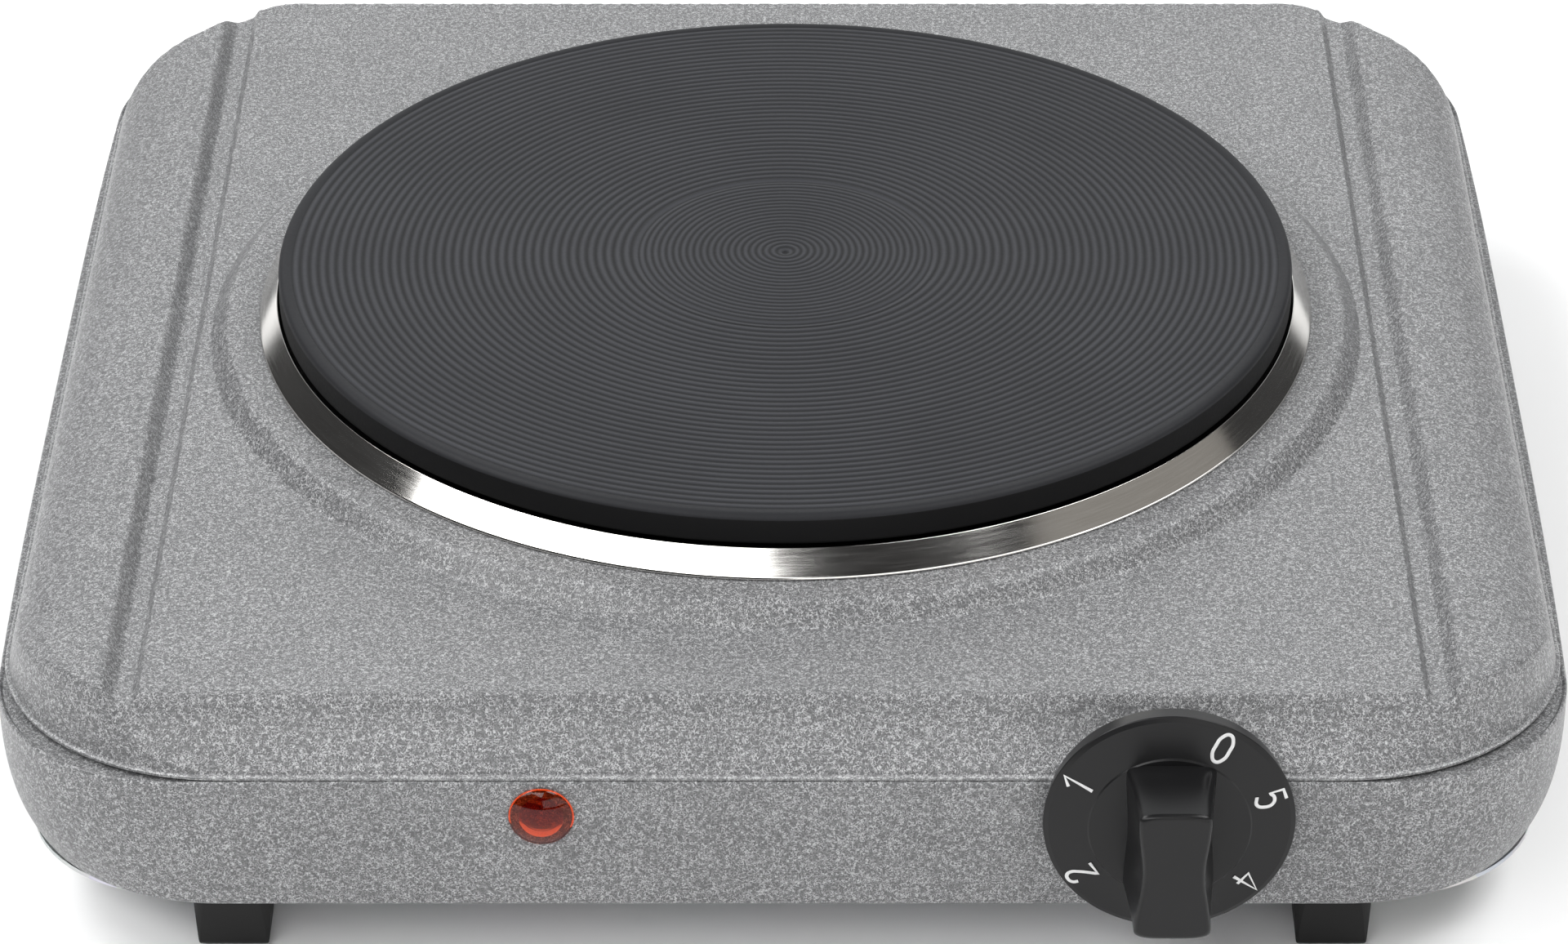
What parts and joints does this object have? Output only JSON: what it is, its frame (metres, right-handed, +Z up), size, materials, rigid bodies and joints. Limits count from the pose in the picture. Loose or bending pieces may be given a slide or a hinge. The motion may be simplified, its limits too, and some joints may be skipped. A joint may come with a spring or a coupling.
{
  "type": "hot plate burner",
  "caption": "Single-ring electric hot plate: a round cast-iron plate in a polished trim ring on a square speckled-grey housing with a front dial, pilot lamp and rubber feet.",
  "frame": {"origin": "middle of the footprint box, on the surface that the feet stand on", "axes": "+Z up, -Y towards the user at the dial side, +X to the user's right"},
  "size_m": [0.2694, 0.2952, 0.066],
  "materials": {
    "speckled_paint": "speckled grey texture paint, satin",
    "zinc_sheet": "galvanised sheet, dull",
    "cast_iron": "turned cast iron with a dark heat-proof coating",
    "polished_trim": "polished stainless band with fine circular brushing",
    "resistance_wire": "oxidised heating wire",
    "magnesia_cement": "dry pressed cement",
    "bright_steel": "zinc plated",
    "ceramic_white": "unglazed ceramic",
    "brown_resin": "pressed phenolic resin",
    "spring_brass": "plain",
    "black_plastic": "satin black plastic",
    "amber_lens": "dark amber-red translucent lens",
    "lamp_resin": "plain",
    "brown_wire": "heat-proof wire sleeve",
    "blue_wire": "heat-proof wire sleeve",
    "earth_wire": "heat-proof wire sleeve",
    "black_rubber": "moulded rubber"
  },
  "bodies": {
    "housing": {"top_cover": "speckled_paint", "base_shell": "speckled_paint", "bottom_plate": "zinc_sheet", "hotplate": "cast_iron", "trim_ring": "polished_trim", "heating_coil": "resistance_wire", "coil_cement": "magnesia_cement", "plate_pan": "zinc_sheet", "plate_posts": "bright_steel", "post_insulators": "ceramic_white", "centre_stud": "bright_steel", "pan_nut": "bright_steel", "clamp_bar": "zinc_sheet", "clamp_washer": "bright_steel", "clamp_nut": "bright_steel", "regulator_bracket": "zinc_sheet", "regulator_case": "brown_resin", "regulator_lid": "brown_resin", "contact_blade": "spring_brass", "fixed_contact": "spring_brass", "regulator_screws": "bright_steel", "lamp_lens": "amber_lens", "lamp_body": "lamp_resin", "lamp_clip": "bright_steel", "cord_gland": "black_plastic", "gland_nut": "black_plastic", "mains_block": "ceramic_white", "mains_screws": "spring_brass", "block_screw": "bright_steel", "wire_live": "brown_wire", "wire_switched": "brown_wire", "wire_neutral": "blue_wire", "wire_earth": "earth_wire", "wire_lamp_a": "brown_wire", "wire_lamp_b": "blue_wire", "earth_screw": "spring_brass", "earth_nut": "spring_brass", "foot_front_left": "black_rubber", "foot_front_right": "black_rubber", "foot_rear_left": "black_rubber", "foot_rear_right": "black_rubber", "foot_screws": "bright_steel", "foot_nuts": "bright_steel", "cover_screws": "bright_steel", "bottom_screws": "bright_steel"},
    "dial": {"knob": "black_plastic", "knob_clip": "bright_steel", "switch_spindle": "bright_steel"},
    "switch_slider": {"contact_slider": "ceramic_white"}
  },
  "joints": [
    {"name": "dial_turn", "type": "hinge", "parent": "housing", "child": "dial", "pos_m": [0.0643, -0.1268, 0.0351], "axis": [0, 1, 0], "range_deg": [-28.4, 288]},
    {"name": "slider_press", "type": "slide", "parent": "housing", "child": "switch_slider", "axis": [0, 0, -1], "range_m": [-0.0003, 0.0026]}
  ],
  "couplings": [
    {"joint": "slider_press", "follows": "dial_turn", "m_per_rad": 0.0005}
  ]
}
